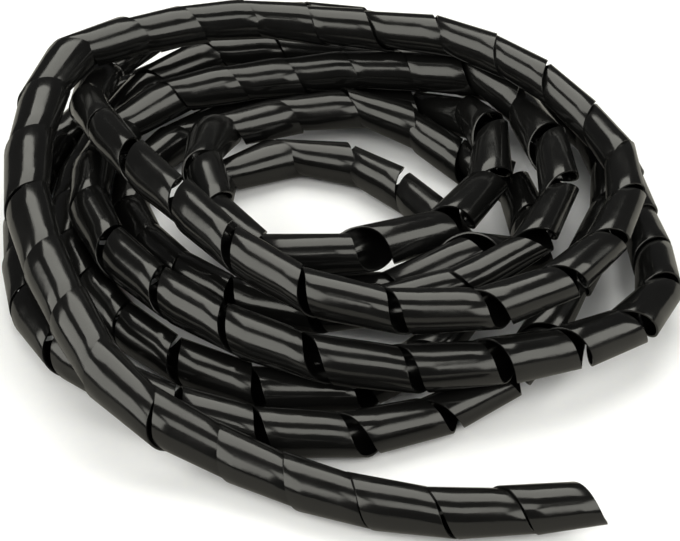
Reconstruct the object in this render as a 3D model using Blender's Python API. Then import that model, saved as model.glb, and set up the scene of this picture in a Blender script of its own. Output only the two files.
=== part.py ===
"""Spiral cable wrap: one long black plastic ribbon, wound as a right-handed helix into a
tube, and the tube laid down in a loose coil with one end free at the front.

Run with: blender --background --python part.py
Units are metres, +Z is up, the coil lies on z = 0 and its free end points along +X.
"""

import math

import bmesh
import bpy
import numpy as np
from mathutils import Vector

# The ribbon and the tube that it makes
TUBE = 0.015            # outside diameter of the wound tube, which varies a little
WALL = 0.0008           # thickness of the ribbon
RIBBON = 0.0213         # width of the ribbon, measured along the tube
SLIT = 0.0004           # least gap between two turns
STEPS_PER_TURN = 8      # flats around the tube in one turn of the ribbon
START_TURN = -0.573     # where around the tube the count of turns starts, in turns

# The coil
CLEAR = 0.0013          # least gap between two laps
SAMPLE = 0.005          # distance between points of the settled centre line
CENTRE = Vector((0.0, 0.020))
POINTS_PER_LAP = 12

# The free tail, from its cut end to where it climbs onto the coil:
# place in metres and outside diameter in millimetres
TAIL = [
    (0.0795, -0.1262, 0.0085, 14.7),
    (0.0550, -0.1296, 0.0085, 14.9),
    (0.0300, -0.1307, 0.0085, 14.8),
    (0.0080, -0.1262, 0.0085, 15.6),
    (-0.0140, -0.1175, 0.0090, 15.1),
    (-0.0340, -0.1091, 0.0110, 15.2),
    (-0.0500, -0.0988, 0.0160, 15.7),
]

# Each lap as (distance from the centre, height, outside diameter) in millimetres at the
# hours of a clock face seen from above, clockwise from the front. The first lap starts one
# hour on.
LAPS = [
    [(132.3, 22, 15.9), (113.6, 33, 16.1), (110.7, 39, 16.5), (114.8, 42, 15.8),
     (100.6, 43, 15.5), (84, 42, 15.2), (82.3, 41, 14.5), (83.7, 40, 13.6),
     (98.8, 38, 12.8), (102.8, 37, 13.4), (101.6, 38, 14.2)],
    [(87.4, 39, 14.5), (69.5, 40, 14.7), (63.5, 40, 14.9), (76.6, 38, 14.3),
     (112.3, 32, 14.2), (127, 26, 15), (120, 21, 15), (115, 18, 15),
     (116, 10, 15), (109, 9, 15), (121, 15, 15.2), (109.9, 21, 15.4)],
    [(99, 23, 15.3), (86.9, 23, 15), (85.1, 22, 15.5), (92.5, 19, 15.1),
     (96.7, 17, 15.2), (81.8, 22, 15.4), (79.2, 25, 14.9), (81.9, 28, 16.3),
     (76.1, 30, 16), (78.4, 32, 14.2), (76.2, 29, 12.6), (70.9, 25, 12.7)],
    [(69, 21, 15), (69, 18, 15), (68, 14, 15), (76, 9, 15),
     (85, 8, 15), (84, 8, 15), (82, 9, 15), (77, 14, 15),
     (70, 21, 15), (50, 22, 15), (45, 23, 15), (46, 24, 15)],
    [(47, 24, 15), (46.5, 23, 15), (46, 22, 15), (46, 20, 15),
     (57, 18, 15), (62, 16, 15), (66, 15, 15), (69, 12, 15),
     (69, 8, 15), (68, 9, 15), (72, 14, 15), (56, 19, 15)],
    [(46, 14, 15), (40, 8, 15), (38, 8, 15), (46, 8, 15),
     (54, 8, 15), (46.9, 8, 15), (38.1, 8, 15), (31.7, 8, 15),
     (29.8, 8, 15), (35.1, 8, 15), (53, 8, 15), (74, 8, 15)],
    [(94.5, 8, 15), (95.7, 8, 15), (94.9, 8, 15), (101, 8, 15),
     (109, 11, 15), (119.7, 17, 15), (108, 18, 15), (105, 17, 15),
     (104, 20, 15), (99.5, 20, 15), (91, 13, 15), (104.5, 8, 13.4)],
    [(115.9, 8, 15.1), (116, 8, 15), (118.5, 8, 15), (112.8, 8, 15),
     (120, 8, 15), (125, 8, 15), (121, 8, 15)],
]

# How closely the turns sit: from this many millimetres along the tube on, this share of the
# turns that would fit if their edges met on the inner side of every bend
CLOSENESS = [
    (0, 0.99), (39, 0.988), (85, 0.989), (133, 0.99), (181, 0.866), (235, 0.707),
    (301, 0.974), (354, 0.99), (403, 0.963), (451, 0.827), (505, 0.923), (554, 0.974),
    (602, 0.83), (655, 0.831), (712, 0.841), (770, 0.682), (836, 0.669), (870, 0.927),
    (1255, 0.903), (1328, 0.859), (1412, 0.756), (1505, 0.739), (1538, 0.958), (1618, 0.95),
    (1694, 0.99), (1764, 0.726), (1862, 0.7), (1893, 0.931), (2286, 0.704), (2384, 0.883),
    (2541, 0.99), (2565, 0.942), (2868, 0.99), (2924, 0.879), (3080, 0.829), (3141, 0.908),
    (3299, 0.867), (3385, 0.953), (3645, 0.854), (3728, 0.86), (3809, 0.879), (3866, 0.93),
]

# How the laps are settled against each other
ROUNDS = 480            # rounds of pushing apart and smoothing
HOLD_ROUNDS = 288       # rounds in which a lap is also drawn back to its own place
PUSH = 0.25
STIFFNESS = 0.06
HOLD = 0.03
FIXED_POINTS = 8        # the first points of the tail stay where they are


def clear_scene():
    for old in list(bpy.data.objects):
        bpy.data.objects.remove(old, do_unlink=True)


def route_points():
    """The tail and the laps as rows of place and tube radius, in metres."""
    points = [(x, y, z, diameter / 2000) for x, y, z, diameter in TAIL]
    for lap_number, lap in enumerate(LAPS):
        first = POINTS_PER_LAP - len(lap) if lap_number == 0 else 0
        for hour, (distance, height, diameter) in enumerate(lap, start=first):
            angle = math.tau * hour / POINTS_PER_LAP
            points.append((CENTRE.x - math.sin(angle) * distance / 1000,
                           CENTRE.y - math.cos(angle) * distance / 1000,
                           height / 1000, diameter / 2000))
    return np.array(points)


def run_along(line):
    return np.concatenate([[0], np.cumsum(np.linalg.norm(np.diff(line[:, :3], axis=0), axis=1))])


def spread_evenly(line, spacing):
    """The same line with its points at equal distances."""
    run = run_along(line)
    stops = np.linspace(0, run[-1], round(run[-1] / spacing) + 1)
    return np.stack([np.interp(stops, run, column) for column in line.T], axis=1)


def smooth_line(points, per_span=12):
    """A Catmull-Rom curve through the points, spread evenly."""
    ends = np.vstack([2 * points[0] - points[1], points, 2 * points[-1] - points[-2]])
    curve = []
    for i in range(len(points) - 1):
        a, b, c, d = ends[i:i + 4]
        for t in np.linspace(0, 1, per_span, endpoint=False):
            curve.append(0.5 * (2 * b + (c - a) * t + (2 * a - 5 * b + 4 * c - d) * t**2
                                + (3 * b - a - 3 * c + d) * t**3))
    curve.append(points[-1])
    return spread_evenly(np.array(curve), SAMPLE)


def settle(points):
    """Pushes laps that overlap apart, keeps them above the floor and smooths their bends."""
    line, radius = points[:, :3].copy(), points[:, 3]
    neighbours = int(2.6 * TUBE / SAMPLE)
    wish = line.copy()
    hold = np.full((len(line), 1), HOLD)
    hold[:FIXED_POINTS] = 1
    for count in range(ROUNDS):
        if count % 12 == 0:
            gaps = np.linalg.norm(line[:, None] - line[None], axis=2)
            one, two = np.nonzero(np.triu(gaps < 1.5 * TUBE, neighbours + 1))
            room = radius[one] + radius[two] + CLEAR
        apart = line[one] - line[two]
        distance = np.linalg.norm(apart, axis=1) + 1e-9
        push = apart * (PUSH * np.clip(room - distance, 0, None) / distance)[:, None]
        move = np.zeros_like(line)
        np.add.at(move, one, push)
        np.add.at(move, two, -push)
        line = line + move
        bend = np.zeros_like(line)
        bend[2:-2] = line[:-4] - 4 * line[1:-3] + 6 * line[2:-2] - 4 * line[3:-1] + line[4:]
        line = line - STIFFNESS * bend
        pull = hold if count < HOLD_ROUNDS else hold * (hold >= 1)
        line = line + pull * (wish - line)
        line[:, 2] = np.maximum(line[:, 2], radius)
    return np.column_stack([line, radius])


def frames_along(line, run):
    """Tangent, two crosswise directions that don't twist, and bend at each point."""
    tangent = np.gradient(line[:, :3], run, axis=0)
    tangent /= np.linalg.norm(tangent, axis=1)[:, None]
    side = np.zeros_like(tangent)
    side[0] = np.cross((0, 0, 1), tangent[0])
    side[0] /= np.linalg.norm(side[0])
    for i in range(1, len(line)):
        side[i] = side[i - 1] - tangent[i] * side[i - 1].dot(tangent[i])
        side[i] /= np.linalg.norm(side[i])
    across = np.cross(tangent, side)
    bend = np.linalg.norm(np.gradient(tangent, run, axis=0), axis=1)
    bend = np.convolve(np.pad(bend, 2, mode="edge"), np.ones(5) / 5, mode="valid")
    return tangent, side, across, bend


def count_turns(run, radius, bend):
    """How many turns of the ribbon lie between the line's start and each of its points."""
    places, shares = np.array(CLOSENESS).T
    share = shares[np.searchsorted(places / 1000, run, side="right") - 1]
    turns_per_metre = share * (1 - radius * bend) / (RIBBON + SLIT)
    middle = (turns_per_metre[1:] + turns_per_metre[:-1]) / 2
    return np.concatenate([[0], np.cumsum(middle * np.diff(run))])


def build_ribbon(line):
    """The ribbon's closed mesh: four corners at each step of the helix."""
    run = run_along(line)
    tangent, side, across, bend = frames_along(line, run)
    turns = count_turns(run, line[:, 3], bend)

    def at(values, s):
        return Vector([np.interp(s, run, values[:, axis]) for axis in range(3)])

    first, last = np.interp([RIBBON / 2, run[-1] - RIBBON / 2], run, turns)
    mesh = bmesh.new()
    rings = []
    for step in range(int((last - first) * STEPS_PER_TURN) + 1):
        turn = first + step / STEPS_PER_TURN
        s = float(np.interp(turn, turns, run))
        angle = math.tau * (turn + START_TURN)
        centre, along = at(line, s), at(tangent, s).normalized()
        out = (at(side, s) * math.cos(angle) + at(across, s) * math.sin(angle)).normalized()
        outer = float(np.interp(s, run, line[:, 3]))
        inner = outer - WALL
        half = RIBBON / 2
        rings.append([mesh.verts.new(centre + out * radius + along * offset)
                      for radius, offset in ((outer, -half), (outer, half),
                                             (inner, half), (inner, -half))])
    for ring, following in zip(rings, rings[1:]):
        for i in range(4):
            j = (i + 1) % 4
            mesh.faces.new((ring[i], following[i], following[j], ring[j]))
    mesh.faces.new(rings[0])
    mesh.faces.new(reversed(rings[-1]))
    bmesh.ops.triangulate(mesh, faces=mesh.faces)
    bmesh.ops.recalc_face_normals(mesh, faces=mesh.faces)
    if mesh.calc_volume(signed=True) < 0:
        bmesh.ops.reverse_faces(mesh, faces=mesh.faces)
    return mesh


def rest_on_floor(mesh):
    """Moves the mesh so that it lies on z = 0 with its box centred on the origin."""
    low = [min(vertex.co[axis] for vertex in mesh.verts) for axis in range(3)]
    high = [max(vertex.co[axis] for vertex in mesh.verts) for axis in range(3)]
    shift = Vector((-(low[0] + high[0]) / 2, -(low[1] + high[1]) / 2, -low[2]))
    bmesh.ops.translate(mesh, verts=mesh.verts, vec=shift)
    return shift


def black_plastic():
    material = bpy.data.materials.new("black_polyethylene")
    material.use_nodes = True
    surface = material.node_tree.nodes["Principled BSDF"]
    surface.inputs["Base Color"].default_value = (0.012, 0.012, 0.012, 1)
    surface.inputs["Roughness"].default_value = 0.28
    surface.inputs["Metallic"].default_value = 0
    return material


def build():
    clear_scene()
    collection = bpy.data.collections.new("spiral_cable_wrap")
    bpy.context.scene.collection.children.link(collection)
    line = settle(smooth_line(route_points()))
    ribbon = build_ribbon(line)
    shift = rest_on_floor(ribbon)
    data = bpy.data.meshes.new("spiral_wrap")
    ribbon.to_mesh(data)
    ribbon.free()
    wrap = bpy.data.objects.new("spiral_wrap", data)
    wrap.data.materials.append(black_plastic())
    collection.objects.link(wrap)
    print(f"spiral_wrap: {run_along(line)[-1]:.3f} m of tube, {len(data.polygons)} triangles,",
          f"moved by {shift.x:.5f}, {shift.y:.5f}, {shift.z:.5f}")


build()
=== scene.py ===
# %% [markdown]
# # Spiral cable wrap
#
# Spiral wrap keeps a bundle of cables together. It is one flat ribbon of black polyethylene:
# a thin-walled tube is extruded, and a turning knife slits it into a helix while it is still
# straight. About four metres of it lie here as they come out of the bag, in a loose coil of
# seven and a half laps with one end free at the front.
#
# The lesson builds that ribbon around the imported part, which is only a coarse helix of eight
# flats a turn. All numbers are in metres, and Z points up.

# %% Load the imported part
import math

import bpy
import numpy as np
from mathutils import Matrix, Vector


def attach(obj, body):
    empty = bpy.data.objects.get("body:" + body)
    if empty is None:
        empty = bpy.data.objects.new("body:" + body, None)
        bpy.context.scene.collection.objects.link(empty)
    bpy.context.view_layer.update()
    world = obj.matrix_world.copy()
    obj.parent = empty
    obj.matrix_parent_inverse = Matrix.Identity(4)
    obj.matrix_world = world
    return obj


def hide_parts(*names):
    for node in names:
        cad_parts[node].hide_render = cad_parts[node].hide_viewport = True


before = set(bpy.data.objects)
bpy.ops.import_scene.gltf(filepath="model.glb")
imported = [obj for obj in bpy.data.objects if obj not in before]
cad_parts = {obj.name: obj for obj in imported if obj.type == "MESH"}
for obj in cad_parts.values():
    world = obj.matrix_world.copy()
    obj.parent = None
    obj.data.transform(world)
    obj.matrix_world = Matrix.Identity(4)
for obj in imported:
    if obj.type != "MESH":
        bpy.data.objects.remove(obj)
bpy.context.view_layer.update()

# %% [markdown]
# ## The camera
#
# The photograph was taken from the front with a long lens, looking 37 degrees down, so the
# laps of the coil look like slightly squashed circles. A long lens far away keeps the laps at
# the back nearly as large as those at the front. The camera aims at the middle of the coil,
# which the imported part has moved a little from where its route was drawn.

# %% Camera
ROUTE_SHIFT = Vector((0.00269, -0.00588, 0.00020))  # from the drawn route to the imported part
CAMERA_RISE = math.radians(37)
CAMERA_DISTANCE = 0.615
SENSOR_WIDTH = 36  # in millimetres, like the lens
NEAREST_SEEN = 0.01


def add_camera(aim, rise, distance, lens):
    position = aim + distance * Vector((0, -math.cos(rise), math.sin(rise)))
    bpy.ops.object.camera_add(location=position, rotation=(math.pi / 2 - rise, 0, 0))
    camera = bpy.context.object
    camera.name = "camera"
    camera.data.lens = lens
    camera.data.sensor_width = SENSOR_WIDTH
    camera.data.clip_start = NEAREST_SEEN
    return camera


bpy.context.scene.camera = add_camera(ROUTE_SHIFT, CAMERA_RISE, CAMERA_DISTANCE, lens=90)
print("camera at", [round(x, 3) for x in bpy.context.scene.camera.location])

# %% [markdown]
# ## The route of the wrap
#
# Before there is any ribbon there is the line that the wound tube follows. On the table it
# starts at the free end, climbs onto the coil, goes round seven and a half times and ends
# underneath, at the back.
#
# A coil could be drawn as a perfect spiral, but nothing that is thrown on a table lies that
# way. So each lap is a row of twelve points, at the hours of a clock face seen from
# above: how far the tube is from the middle, how high, and how thick. The thickness varies
# because the wrap opens and closes a little as it is bent and twisted.

# %% Points of the route
TUBE = 0.015  # outside diameter of the wound tube
CLOCK_CENTRE = (0.0, 0.020)
HOURS = 12

# (x, y, z) in metres and outside diameter in millimetres
TAIL = [
    (0.0795, -0.1262, 0.0085, 14.7),
    (0.0550, -0.1296, 0.0085, 14.9),
    (0.0300, -0.1307, 0.0085, 14.8),
    (0.0080, -0.1262, 0.0085, 15.6),
    (-0.0140, -0.1175, 0.0090, 15.1),
    (-0.0340, -0.1091, 0.0110, 15.2),
    (-0.0500, -0.0988, 0.0160, 15.7),
]

# (distance from the middle, height, outside diameter) in millimetres; the first lap starts
# one hour on
LAPS = [
    [(132.3, 22, 15.9), (113.6, 33, 16.1), (110.7, 39, 16.5), (114.8, 42, 15.8),
     (100.6, 43, 15.5), (84, 42, 15.2), (82.3, 41, 14.5), (83.7, 40, 13.6),
     (98.8, 38, 12.8), (102.8, 37, 13.4), (101.6, 38, 14.2)],
    [(87.4, 39, 14.5), (69.5, 40, 14.7), (63.5, 40, 14.9), (76.6, 38, 14.3),
     (112.3, 32, 14.2), (127, 26, 15), (120, 21, 15), (115, 18, 15),
     (116, 10, 15), (109, 9, 15), (121, 15, 15.2), (109.9, 21, 15.4)],
    [(99, 23, 15.3), (86.9, 23, 15), (85.1, 22, 15.5), (92.5, 19, 15.1),
     (96.7, 17, 15.2), (81.8, 22, 15.4), (79.2, 25, 14.9), (81.9, 28, 16.3),
     (76.1, 30, 16), (78.4, 32, 14.2), (76.2, 29, 12.6), (70.9, 25, 12.7)],
    [(69, 21, 15), (69, 18, 15), (68, 14, 15), (76, 9, 15),
     (85, 8, 15), (84, 8, 15), (82, 9, 15), (77, 14, 15),
     (70, 21, 15), (50, 22, 15), (45, 23, 15), (46, 24, 15)],
    [(47, 24, 15), (46.5, 23, 15), (46, 22, 15), (46, 20, 15),
     (57, 18, 15), (62, 16, 15), (66, 15, 15), (69, 12, 15),
     (69, 8, 15), (68, 9, 15), (72, 14, 15), (56, 19, 15)],
    [(46, 14, 15), (40, 8, 15), (38, 8, 15), (46, 8, 15),
     (54, 8, 15), (46.9, 8, 15), (38.1, 8, 15), (31.7, 8, 15),
     (29.8, 8, 15), (35.1, 8, 15), (53, 8, 15), (74, 8, 15)],
    [(94.5, 8, 15), (95.7, 8, 15), (94.9, 8, 15), (101, 8, 15),
     (109, 11, 15), (119.7, 17, 15), (108, 18, 15), (105, 17, 15),
     (104, 20, 15), (99.5, 20, 15), (91, 13, 15), (104.5, 8, 13.4)],
    [(115.9, 8, 15.1), (116, 8, 15), (118.5, 8, 15), (112.8, 8, 15),
     (120, 8, 15), (125, 8, 15), (121, 8, 15)],
]


def route_points():
    points = [(x, y, z, diameter / 2000) for x, y, z, diameter in TAIL]
    for number, lap in enumerate(LAPS):
        first_hour = HOURS - len(lap) if number == 0 else 0
        for hour, (distance, height, diameter) in enumerate(lap, start=first_hour):
            angle = math.tau * hour / HOURS
            points.append((CLOCK_CENTRE[0] - math.sin(angle) * distance / 1000,
                           CLOCK_CENTRE[1] - math.cos(angle) * distance / 1000,
                           height / 1000, diameter / 2000))
    return np.array(points)


print("route drawn with", len(route_points()), "points")

# %% [markdown]
# A smooth curve goes through the points. A Catmull-Rom curve is the easiest one to write down,
# because it passes through every point and needs no handles. Its points are then spread evenly,
# 5 mm apart. Each of them carries the radius of the tube along with its place.

# %% Smooth line through the points
SAMPLE = 0.005


def run_along(line):
    return np.concatenate([[0], np.cumsum(np.linalg.norm(np.diff(line[:, :3], axis=0), axis=1))])


def spread_evenly(line, spacing):
    run = run_along(line)
    stops = np.linspace(0, run[-1], round(run[-1] / spacing) + 1)
    return np.stack([np.interp(stops, run, column) for column in line.T], axis=1)


def smooth_line(points, per_span=12):
    ends = np.vstack([2 * points[0] - points[1], points, 2 * points[-1] - points[-2]])
    curve = []
    for i in range(len(points) - 1):
        a, b, c, d = ends[i:i + 4]
        for t in np.linspace(0, 1, per_span, endpoint=False):
            curve.append(0.5 * (2 * b + (c - a) * t + (2 * a - 5 * b + 4 * c - d) * t**2
                                + (3 * b - a - 3 * c + d) * t**3))
    curve.append(points[-1])
    return spread_evenly(np.array(curve), SAMPLE)


drawn_line = smooth_line(route_points())
print("drawn line:", len(drawn_line), "points,", round(float(run_along(drawn_line)[-1]), 3), "m")

# %% [markdown]
# Where the listed laps cut through each other they have to be pushed apart, as real ones push
# each other. Each round finds the points that are closer than the two tubes allow, moves them
# apart, and irons out bends that a stiff tube wouldn't take. Nothing sinks below the table.

# %% Settle the laps
CLEAR = 0.0013       # least gap between two laps
ROUNDS = 480         # rounds of pushing apart and smoothing
HOLD_ROUNDS = 288    # rounds in which a lap is also drawn back to its own place
LOOK_AGAIN = 12      # rounds after which the near neighbours are listed afresh
NEAR = 1.5           # neighbours are this many tube diameters apart at most
SAME_LAP = 2.6       # and along the line, points within this many diameters don't count
PUSH = 0.25          # share of an overlap that one round takes out
STIFFNESS = 0.06     # how strongly bends are ironed out
HOLD = 0.03          # how strongly a lap is drawn back
FIXED_POINTS = 8     # the first points of the tail stay where they are


def settle(points):
    line, radius = points[:, :3].copy(), points[:, 3]
    neighbours = int(SAME_LAP * TUBE / SAMPLE)
    wish = line.copy()
    hold = np.full((len(line), 1), HOLD)
    hold[:FIXED_POINTS] = 1
    for count in range(ROUNDS):
        if count % LOOK_AGAIN == 0:
            gaps = np.linalg.norm(line[:, None] - line[None], axis=2)
            one, two = np.nonzero(np.triu(gaps < NEAR * TUBE, neighbours + 1))
            room = radius[one] + radius[two] + CLEAR
        apart = line[one] - line[two]
        distance = np.linalg.norm(apart, axis=1) + 1e-9
        push = apart * (PUSH * np.clip(room - distance, 0, None) / distance)[:, None]
        move = np.zeros_like(line)
        np.add.at(move, one, push)
        np.add.at(move, two, -push)
        line = line + move
        bend = np.zeros_like(line)
        bend[2:-2] = line[:-4] - 4 * line[1:-3] + 6 * line[2:-2] - 4 * line[3:-1] + line[4:]
        line = line - STIFFNESS * bend
        pull = hold if count < HOLD_ROUNDS else hold * (hold >= 1)
        line = line + pull * (wish - line)
        line[:, 2] = np.maximum(line[:, 2], radius)
    return np.column_stack([line, radius])


centre_line = settle(drawn_line)
run = run_along(centre_line)
print("settled line:", round(float(run[-1]), 3), "m")

# %% [markdown]
# A helix needs to know which way is sideways at every point of the line. If that direction
# is worked out afresh at each point it flips over in tight bends. Carrying it along from
# point to point, and only taking out the part that no longer stands at a right angle, gives
# directions that never twist. How sharply the line bends is averaged over five points, since
# the settled line is a little uneven.

# %% Directions along the line
def directions_along(line, run):
    tangent = np.gradient(line[:, :3], run, axis=0)
    tangent /= np.linalg.norm(tangent, axis=1)[:, None]
    side = np.zeros_like(tangent)
    side[0] = np.cross((0, 0, 1), tangent[0])
    side[0] /= np.linalg.norm(side[0])
    for i in range(1, len(line)):
        side[i] = side[i - 1] - tangent[i] * side[i - 1].dot(tangent[i])
        side[i] /= np.linalg.norm(side[i])
    across = np.cross(tangent, side)
    bend = np.linalg.norm(np.gradient(tangent, run, axis=0), axis=1)
    bend = np.convolve(np.pad(bend, 2, mode="edge"), np.ones(5) / 5, mode="valid")
    return tangent, side, across, bend


tangent, side, across, bend = directions_along(centre_line, run)
print("tightest bend:", round(1000 / float(bend.max())), "mm radius")

# %% [markdown]
# ## How far apart the turns are
#
# The ribbon is as wide as one turn, less a hair for the knife. On a straight stretch the turns
# lie edge to edge. In a bend the edges on the inside still touch, so the turns have to fan
# open on the outside: those are the dark wedges that make spiral wrap look like spiral wrap.
#
# The rule gives the most turns that fit into a stretch. Real wrap has been pulled a little
# here and pushed together there, so a list says what share of them is left. It is measured
# where the slits show and guessed where the laps are hidden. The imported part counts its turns
# in the same way.

# %% Count the turns along the line
RIBBON = 0.0213      # width of the ribbon, measured along the tube
SLIT = 0.0004        # least gap between two turns
START_TURN = -0.573  # where around the tube the count starts, in turns

# (from this many millimetres along the tube on, share of the turns that would fit)
CLOSENESS = [
    (0, 0.99), (39, 0.988), (85, 0.989), (133, 0.99), (181, 0.866), (235, 0.707),
    (301, 0.974), (354, 0.99), (403, 0.963), (451, 0.827), (505, 0.923), (554, 0.974),
    (602, 0.83), (655, 0.831), (712, 0.841), (770, 0.682), (836, 0.669), (870, 0.927),
    (1255, 0.903), (1328, 0.859), (1412, 0.756), (1505, 0.739), (1538, 0.958), (1618, 0.95),
    (1694, 0.99), (1764, 0.726), (1862, 0.7), (1893, 0.931), (2286, 0.704), (2384, 0.883),
    (2541, 0.99), (2565, 0.942), (2868, 0.99), (2924, 0.879), (3080, 0.829), (3141, 0.908),
    (3299, 0.867), (3385, 0.953), (3645, 0.854), (3728, 0.86), (3809, 0.879), (3866, 0.93),
]


def count_turns(radius):
    places, shares = np.array(CLOSENESS).T
    share = shares[np.searchsorted(places / 1000, run, side="right") - 1]
    turns_per_metre = share * (1 - radius * bend) / (RIBBON + SLIT)
    middle = (turns_per_metre[1:] + turns_per_metre[:-1]) / 2
    return np.concatenate([[0], np.cumsum(middle * np.diff(run))])


turns = count_turns(centre_line[:, 3])
first_turn, last_turn = np.interp([RIBBON / 2, run[-1] - RIBBON / 2], run, turns)
print("ribbon of", round(last_turn - first_turn, 1), "turns")

# %% [markdown]
# ## The ribbon
#
# A grid is the natural start for a ribbon: many small cells long, a few cells wide. Each of
# its points has a place along the ribbon and a place across it. The next steps turn both into
# a place on the helix.

# %% Flat grid for the ribbon
CELLS_PER_TURN = 35
CELLS_ACROSS = 4


def ribbon_grid():
    cells = round((last_turn - first_turn) * CELLS_PER_TURN)
    bpy.ops.object.select_all(action="DESELECT")
    bpy.ops.mesh.primitive_grid_add(x_subdivisions=cells, y_subdivisions=CELLS_ACROSS, size=1)
    piece = bpy.context.object
    piece.name = piece.data.name = "wrap_ribbon"
    flat = np.empty(len(piece.data.vertices) * 3)
    piece.data.vertices.foreach_get("co", flat)
    return piece, flat.reshape(-1, 3)


ribbon, flat = ribbon_grid()
print("flat grid:", len(ribbon.data.polygons), "cells")

# %% [markdown]
# Wide, thin ribbon doesn't bend edgewise, so in a bend each turn stays a straight piece of
# tube and the next one starts at a new angle. Two sine waves move the change of direction to
# the far side of every turn, and the bright bands break at each slit instead of flowing round
# the bend. The waves are chosen so that over the front the direction hardly changes at all.

# %% Turns that stay straight
FRONT_ABOVE = np.array((0, -0.8, 0.6))  # the side of the tube that is seen best
STRAIGHT_BEND = 13  # turns give way in a sharper bend, as one over its radius in metres


def along_line(values, s):
    return np.stack([np.interp(s, run, column) for column in np.atleast_2d(values.T)], axis=-1)


def turns_past(heading, turn, s):
    """How far around the tube a place is from the side that looks in a heading, in turns."""
    angle = np.arctan2(along_line(across, s) @ heading, along_line(side, s) @ heading)
    return turn + START_TURN - angle / math.tau


def straightened_place(turn, s):
    """Where along the tube the directions are taken from: steady over the front of a turn."""
    angle = math.tau * turns_past(FRONT_ABOVE, turn, s)
    ahead = (4 / 3 * np.sin(angle) - np.sin(2 * angle) / 6) / math.tau
    straight = np.clip(STRAIGHT_BEND / np.maximum(np.interp(s, run, bend), 1), 0, 1)
    return np.interp(turn - ahead * straight, turns, run)


every_turn = np.arange(first_turn, last_turn, 0.1)
every_place = np.interp(every_turn, turns, run)
moved = straightened_place(every_turn, every_place) - every_place
print("directions are taken up to", (1000 * np.abs(moved).max()).round(1), "mm further on")

# %% [markdown]
# The turns also lean a little along the tube, like rings on a rod, so the slits cross the
# front of the tube more squarely than the underside. They lean most where the front is on the
# outside of a bend, as it is at the front of the coil. The bend is averaged over six turns
# first, so that neighbours lean alike and no slit between them opens.

# %% How far the turns lean
LEAN = 0.0006          # how far every turn leans
LEAN_IN_BEND = 0.0030  # and how much further in a bend
LEAST_BEND, FULL_BEND = 5, 11  # where that starts and ends, as one over the bend's radius
EVEN_OUT = np.ones(31) / 31    # weights of the samples in the average
bend_direction = np.gradient(tangent, run, axis=0)
bend_direction = np.stack([np.convolve(c, EVEN_OUT, "same") for c in bend_direction.T], axis=1)


def lean(turn, s):
    """How far a turn leans along the tube, most where the front lies outside a bend."""
    swing = -along_line(bend_direction, s) @ FRONT_ABOVE
    most = LEAN + LEAN_IN_BEND * np.clip((swing - LEAST_BEND) / (FULL_BEND - LEAST_BEND), 0, 1)
    return -most * np.sin(math.tau * turns_past(FRONT_ABOVE, turn, s))


print("turns lean by up to", (1000 * lean(every_turn, every_place).max()).round(1), "mm")

# %% [markdown]
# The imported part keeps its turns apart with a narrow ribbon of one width. A real one is wider
# and its turns slide over each other: on the free tail they close up to a dark line, and
# further on they are drawn apart and the slits stand open. Here the width follows the distance
# to the next turn instead. That is simpler than sliding turns, and the slits open and close
# much as they do in the photograph.

# %% Width of the ribbon
HAIRLINE = 0.0005      # slit between two turns that are pushed together
WIDEST_SLIT = 0.0050   # and between two turns that are drawn apart
PULLED_CLOSED = 0.6    # share of a bend's extra pitch that the overlap takes up
TAIL_END = 0.55        # metres of tube whose turns are all pushed together
TAIL_FADE = 0.1        # metres over which that ends
TAIL_WIDTH = 0.0315    # width of the ribbon there, where nothing is in its way
LEAST_WIDTH, FULL_WIDTH = 0.0238, 0.0300  # and beyond that


def ribbon_width(turn, s, radius):
    to_next = np.interp(turn + 0.5, turns, run) - np.interp(turn - 0.5, turns, run)
    on_outside = to_next * (1 + radius * np.interp(s, run, bend))
    drawn_apart = np.clip((s - TAIL_END) / TAIL_FADE, 0, 1)
    beyond = np.clip(on_outside - WIDEST_SLIT, LEAST_WIDTH, FULL_WIDTH)
    widest = TAIL_WIDTH + (beyond - TAIL_WIDTH) * drawn_apart
    closed = to_next * (1 + PULLED_CLOSED * radius * np.interp(s, run, bend)) - HAIRLINE
    return np.minimum(widest, closed)


widths = ribbon_width(every_turn, every_place, TUBE / 2)
print("ribbon", (1000 * widths.min()).round(1), "to", (1000 * widths.max()).round(1), "mm wide")

# %% [markdown]
# Now the grid can be wound. Where the wrap is pushed together its turns overlap like the
# scales of a fir cone: each one widens a little towards the edge that faces the coil, so that
# this edge lies over the next turn. The cone is slight, so where two turns overlap far their
# walls still cut into each other. A few of those places can be seen.

# %% Wind the grid into a helix
CONE = 0.0005  # how far the edge that faces the coil stands out


def helix_place(place_along, place_across):
    """place_along runs from 0 to 1 over the ribbon's length, place_across from -0.5 to 0.5."""
    turn = first_turn + place_along * (last_turn - first_turn)
    s = np.interp(turn, turns, run)
    angle = math.tau * (turn + START_TURN)
    leaning = lean(turn, s)
    steady = straightened_place(turn, s) + leaning
    forward = along_line(tangent, steady)
    forward /= np.linalg.norm(forward, axis=1)[:, None]
    out = (along_line(side, steady) * np.cos(angle)[:, None]
           + along_line(across, steady) * np.sin(angle)[:, None])
    out /= np.linalg.norm(out, axis=1)[:, None]
    radius = np.interp(s, run, centre_line[:, 3]) + CONE * 2 * place_across
    sideways = place_across * ribbon_width(turn, s, radius)
    centre = along_line(centre_line[:, :3], s + leaning) + forward * sideways[:, None]
    return centre + out * radius[:, None], s + leaning + sideways, angle


wound, tube_run, tube_angle = helix_place(flat[:, 0] + 0.5, flat[:, 1])
wound[:, 2] = np.maximum(wound[:, 2], 0)  # the lowest turns lie flat on the floor
ribbon.data.vertices.foreach_set("co", (wound + np.array(ROUTE_SHIFT)).ravel())
print("wound ribbon from", wound.min(axis=0).round(3), "to", wound.max(axis=0).round(3))

# %% [markdown]
# The pattern on the plastic comes from the extruder and runs along the tube, not along the
# ribbon. So the UV map says how far along the tube a point is, and how far around it.

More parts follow.
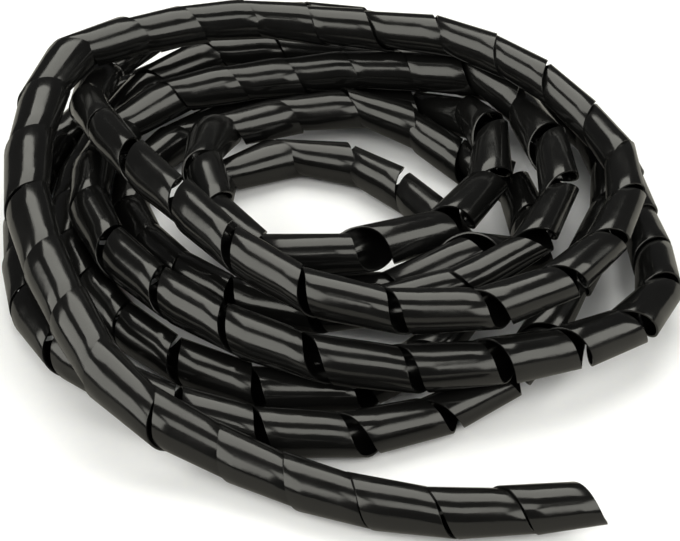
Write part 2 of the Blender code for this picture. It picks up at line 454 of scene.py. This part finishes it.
# %% UV map in metres along and around the tube
corner_vertex = np.empty(len(ribbon.data.loops), dtype=int)
ribbon.data.loops.foreach_get("vertex_index", corner_vertex)
uv = np.stack([tube_run, tube_angle * TUBE / 2], axis=1)[corner_vertex]
ribbon.data.uv_layers.active.data.foreach_set("uv", uv.ravel())
print("tube covered by the UV map:", uv[:, 0].min().round(3), "to", uv[:, 0].max().round(3), "m")

# %% [markdown]
# Solidify gives the ribbon its wall, inwards from the outer skin. It puts the knife-cut edges
# in a second material and the inner wall in a third. A small bevel then breaks those edges,
# because a sharp corner shows no glint.

# %% Wall and broken edges
WALL = 0.0008
EDGE_BEVEL = 0.00012
BEVELLED_ANGLE = math.radians(50)
SMOOTH_ANGLE = math.radians(40)


def normals_face_outward(piece):
    first = piece.data.polygons[0]
    centre = along_line(centre_line[:, :3], np.array([tube_run[first.vertices[0]]]))[0]
    return (first.center - Vector(centre) - ROUTE_SHIFT).dot(first.normal) > 0


def apply_modifier(piece, kind, **settings):
    modifier = piece.modifiers.new(kind.lower(), kind)
    for name, value in settings.items():
        setattr(modifier, name, value)
    bpy.context.view_layer.objects.active = piece
    bpy.ops.object.modifier_apply(modifier=modifier.name)


if not normals_face_outward(ribbon):
    ribbon.data.flip_normals()
apply_modifier(ribbon, "SOLIDIFY", thickness=WALL, offset=-1,
               material_offset=2, material_offset_rim=1)
apply_modifier(ribbon, "BEVEL", width=EDGE_BEVEL, segments=2, limit_method="ANGLE",
               angle_limit=BEVELLED_ANGLE)
bpy.ops.object.select_all(action="DESELECT")
ribbon.select_set(True)
bpy.context.view_layer.objects.active = ribbon
bpy.ops.object.shade_smooth_by_angle(angle=SMOOTH_ANGLE)
triangles = sum(len(face.vertices) - 2 for face in ribbon.data.polygons)
print("ribbon with its wall:", triangles, "triangles")

# %% [markdown]
# ## The plastic
#
# Natural polyethylene is milky, and a few per cent of soot make it black all through. What one
# sees is nearly all gloss: bright bands where the lamps are mirrored, and almost nothing in
# between. So the colour can stay plain, and the work goes into the surface.
#
# Two things disturb that gloss. The extruder's die draws fine lines along the tube, and the
# soft plastic has a faint unevenness like the skin of an orange. Both come from noise on the
# metre-true UV map, stretched along the tube for the lines. They sit in one node group that
# the outer skin, the cut edges and the inner wall share.

# %% Node group with the marks of extrusion
def new_group(name, inputs, outputs):
    group = bpy.data.node_groups.new(name, "ShaderNodeTree")
    for socket, kind, value in inputs:
        item = group.interface.new_socket(socket, in_out="INPUT", socket_type=kind)
        if value is not None:
            item.default_value = value
    for socket in outputs:
        group.interface.new_socket(socket, in_out="OUTPUT", socket_type="NodeSocketFloat")
    return group, group.nodes.new("NodeGroupInput"), group.nodes.new("NodeGroupOutput")


def add_node(tree, kind, **settings):
    node = tree.nodes.new(kind)
    for name, value in settings.items():
        setattr(node, name, value)
    return node


def noise_on(tree, place, stretch, scale, detail):
    """Noise over the UV map, with cells stretched by the given factors."""
    stretched = add_node(tree, "ShaderNodeVectorMath", operation="MULTIPLY")
    tree.links.new(place, stretched.inputs[0])
    stretched.inputs[1].default_value = stretch
    noise = add_node(tree, "ShaderNodeTexNoise")
    noise.inputs["Scale"].default_value = scale
    noise.inputs["Detail"].default_value = detail
    tree.links.new(stretched.outputs[0], noise.inputs["Vector"])
    return noise.outputs["Fac"]


def weighted_sum(tree, first, second, weight):
    total = add_node(tree, "ShaderNodeMath", operation="MULTIPLY_ADD")
    tree.links.new(second, total.inputs[0])
    total.inputs[1].default_value = weight
    tree.links.new(first, total.inputs[2])
    return total.outputs[0]


DIE_LINES = 0.35  # depth of the lines as a share of the unevenness

marks, marks_in, marks_out = new_group(
    "extrusion_marks", [("Place", "NodeSocketVector", None)], ["Height", "Wear"])
die_lines = noise_on(marks, marks_in.outputs["Place"], (0.012, 1, 1), scale=2600, detail=2)
orange_peel = noise_on(marks, marks_in.outputs["Place"], (0.6, 1, 1), scale=420, detail=1)
handling = noise_on(marks, marks_in.outputs["Place"], (0.4, 1, 1), scale=160, detail=4)
height = weighted_sum(marks, orange_peel, die_lines, DIE_LINES)
marks.links.new(height, marks_out.inputs["Height"])
marks.links.new(handling, marks_out.inputs["Wear"])
print("node group with", len(marks.nodes), "nodes:", marks.name)

# %% [markdown]
# The outer skin takes those marks as a bump a few hundredths of a millimetre deep, and the
# wear makes the gloss a little duller in places. The knife leaves the edges rougher, and their
# lighter grey colour is a painted highlight: it draws the fine lighter line of every slit,
# where light catches on the edge. The inner wall never touched the die's polished ring and is
# nearly matt; its colour, a shade darker than the outer skin's, is painted shade for the dim
# inside of the tube.

# %% Black polyethylene
POLYETHYLENE_IOR = 1.51
WEAR_STARTS, WEAR_ENDS = 0.35, 0.7  # noise between glossiest and dullest


def new_material(name):
    material = bpy.data.materials.new(name)
    material.use_nodes = True
    return material, material.node_tree, material.node_tree.nodes["Principled BSDF"]


def black_plastic(name, colour, glossy, dull, bump_depth):
    material, tree, surface = new_material(name)
    surface.inputs["Base Color"].default_value = (*colour, 1)
    surface.inputs["IOR"].default_value = POLYETHYLENE_IOR
    place = add_node(tree, "ShaderNodeUVMap")
    skin = add_node(tree, "ShaderNodeGroup", node_tree=marks)
    tree.links.new(place.outputs["UV"], skin.inputs["Place"])
    gloss = add_node(tree, "ShaderNodeMapRange")
    gloss.inputs["From Min"].default_value = WEAR_STARTS
    gloss.inputs["From Max"].default_value = WEAR_ENDS
    gloss.inputs["To Min"].default_value = glossy
    gloss.inputs["To Max"].default_value = dull
    tree.links.new(skin.outputs["Wear"], gloss.inputs["Value"])
    tree.links.new(gloss.outputs["Result"], surface.inputs["Roughness"])
    bump = add_node(tree, "ShaderNodeBump")
    bump.inputs["Strength"].default_value = 1
    bump.inputs["Distance"].default_value = bump_depth
    tree.links.new(skin.outputs["Height"], bump.inputs["Height"])
    tree.links.new(bump.outputs["Normal"], surface.inputs["Normal"])
    return material


ribbon.data.materials.clear()
ribbon.data.materials.append(
    black_plastic("black_polyethylene", (0.005, 0.005, 0.005), 0.11, 0.22, 0.00003))
# the cut edge's lighter grey colour is a painted highlight for the light caught along each slit
ribbon.data.materials.append(
    black_plastic("black_polyethylene_cut_edge", (0.02, 0.02, 0.02), 0.25, 0.45, 0.00006))
# the inner wall's colour, a shade darker than the outer skin's, is painted shade for the dim
# inside of the tube
ribbon.data.materials.append(
    black_plastic("black_polyethylene_inner_wall", (0.004, 0.004, 0.004), 0.45, 0.6, 0.00006))
print("materials of the ribbon:", [material.name for material in ribbon.data.materials])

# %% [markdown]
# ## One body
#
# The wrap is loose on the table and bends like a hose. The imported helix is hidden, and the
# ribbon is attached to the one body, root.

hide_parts("spiral_wrap")
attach(ribbon, "root")

# %% [markdown]
# ## Table and light
#
# The table is a sheet of white paper. In the photograph it is bleached out until no tone is
# left, while the plastic mirrors it as a plain light grey. So the paper is lighter where it
# is seen directly than where it is mirrored: the Light Path node tells the two apart.

# %% Floor
PAPER_GREY = (0.36, 0.35, 0.33, 1)
PAPER_DARK = (0.92, 0.93, 1, 1)
PAPER_LIGHT = (0.96, 0.97, 1, 1)
PAPER_ROUGHNESS = 0.9
FLOOR_SIZE = 8


def add_floor(size):
    bpy.ops.mesh.primitive_plane_add(size=size, location=(0, 0, 0))
    floor = bpy.context.object
    floor.name = "floor"
    material, tree, surface = new_material("pale_paper")
    surface.inputs["Roughness"].default_value = PAPER_ROUGHNESS
    place = add_node(tree, "ShaderNodeTexCoord")
    fibres = noise_on(tree, place.outputs["Object"], (1, 1, 1), scale=300, detail=3)
    tone = add_node(tree, "ShaderNodeMix", data_type="RGBA")
    tone.inputs["A"].default_value = PAPER_DARK
    tone.inputs["B"].default_value = PAPER_LIGHT
    tree.links.new(fibres, tone.inputs["Factor"])
    seen = add_node(tree, "ShaderNodeMix", data_type="RGBA")
    seen.inputs["A"].default_value = PAPER_GREY
    tree.links.new(tone.outputs["Result"], seen.inputs["B"])
    ray = add_node(tree, "ShaderNodeLightPath")
    tree.links.new(ray.outputs["Is Camera Ray"], seen.inputs["Factor"])
    tree.links.new(seen.outputs["Result"], surface.inputs["Base Color"])
    floor.data.materials.append(material)
    return floor


floor = add_floor(FLOOR_SIZE)
print("floor", tuple(round(side, 1) for side in floor.dimensions))

# %% [markdown]
# Every bright band on the tube is a mirror image of a lamp, so the bands tell where the lamps
# were. One wide soft box hangs over the coil and behind it, a narrower one over the camera,
# and the dark gap between them shows as the thin line inside the bands. Two more stand at the
# left and right. Near the horizon it is dark.

# %% Soft boxes
LAMP_COLOUR = (1.0, 0.99, 0.9)
SIDE_DISTANCE = 1.6  # from the middle of the coil to the lamps at its sides


def add_soft_box(name, centre, aim, width, depth, radiance):
    bpy.ops.object.light_add(type="AREA", location=centre)
    lamp = bpy.context.object
    lamp.name = name
    lamp.rotation_euler = (Vector(aim) - Vector(centre)).to_track_quat("-Z", "Y").to_euler()
    lamp.data.shape = "RECTANGLE"
    lamp.data.size, lamp.data.size_y = width, depth
    lamp.data.energy = radiance * math.pi * width * depth
    lamp.data.color = LAMP_COLOUR
    return lamp


def direction(azimuth, rise):
    """Azimuth in degrees, clockwise from straight behind the coil as seen from above."""
    turned, risen = math.radians(azimuth), math.radians(rise)
    return Vector((math.sin(turned) * math.cos(risen), math.cos(turned) * math.cos(risen),
                   math.sin(risen)))


lamps = [
    add_soft_box("soft_box_over_coil", (0.05, 0.5, 0.9), (0.05, 0.5, 0), 0.9, 1.05, 3.2),
    add_soft_box("soft_box_over_camera", (0.08, -0.79, 0.9), (0.08, -0.79, 0), 0.68, 0.56, 3.0),
    add_soft_box("soft_box_left", SIDE_DISTANCE * direction(-115, 33), (0, 0, 0), 2.0, 1.2, 3.2),
    add_soft_box("soft_box_right", SIDE_DISTANCE * direction(115, 30), (0, 0, 0), 2.3, 0.9, 3.2),
]
print("lamps:", [round(lamp.data.energy) for lamp in lamps], "W")

# %% [markdown]
# The room itself gives next to nothing. A trace of grey keeps the deepest black from closing
# up. The photograph has a hard white and a hard black, and a filmic view would soften both, so
# the view is the Standard one.

# %% World and view
ROOM_GREY = (0.045, 0.045, 0.045, 1)

world = bpy.data.worlds.new("studio")
bpy.context.scene.world = world
world.use_nodes = True
world.node_tree.nodes["Background"].inputs["Color"].default_value = ROOM_GREY
bpy.context.scene.view_settings.view_transform = "Standard"
print("view:", bpy.context.scene.view_settings.view_transform)
